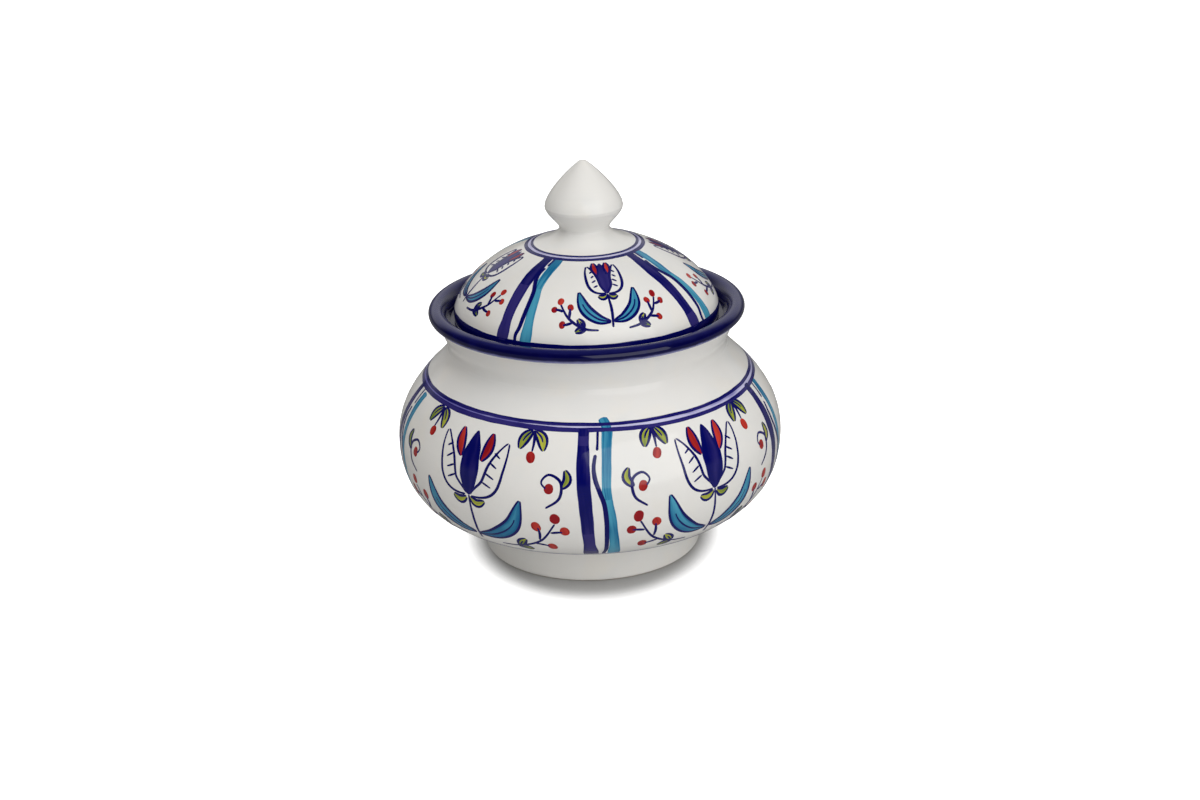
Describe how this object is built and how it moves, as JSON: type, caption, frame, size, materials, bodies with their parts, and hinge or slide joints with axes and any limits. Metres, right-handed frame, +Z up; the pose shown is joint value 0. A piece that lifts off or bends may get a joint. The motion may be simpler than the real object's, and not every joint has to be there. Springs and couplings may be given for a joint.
{
  "type": "candy dish",
  "caption": "Round glazed pottery candy dish with a bulging belly, ring foot and flared rolled rim, closed by a domed lift-off lid with an onion-shaped knob.",
  "frame": {"origin": "on the table, under the middle of the foot", "axes": "+Z up along the axis that the dish and the lid are turned about, -Y towards the front"},
  "size_m": [0.1506, 0.1506, 0.1551],
  "materials": {
    "white_glaze": "glossy white tin glaze",
    "cobalt_glaze": "glossy cobalt blue under clear glaze",
    "turquoise_glaze": "brushed turquoise under clear glaze",
    "leaf_glaze": "brushed yellow-green under clear glaze",
    "berry_glaze": "brushed red under clear glaze",
    "lilac_glaze": "thin cobalt wash under clear glaze"
  },
  "bodies": {
    "dish": {"bowl": "white_glaze", "foot_ring": "white_glaze", "rim_collar": "cobalt_glaze"},
    "lid": {"lid_dome": "white_glaze", "lid_flange": "white_glaze", "lid_knob": "white_glaze"}
  },
  "joints": [
    {"name": "lid_lift", "type": "slide", "parent": "dish", "child": "lid", "axis": [0, 0, 1], "range_m": [0, 0.1]}
  ]
}
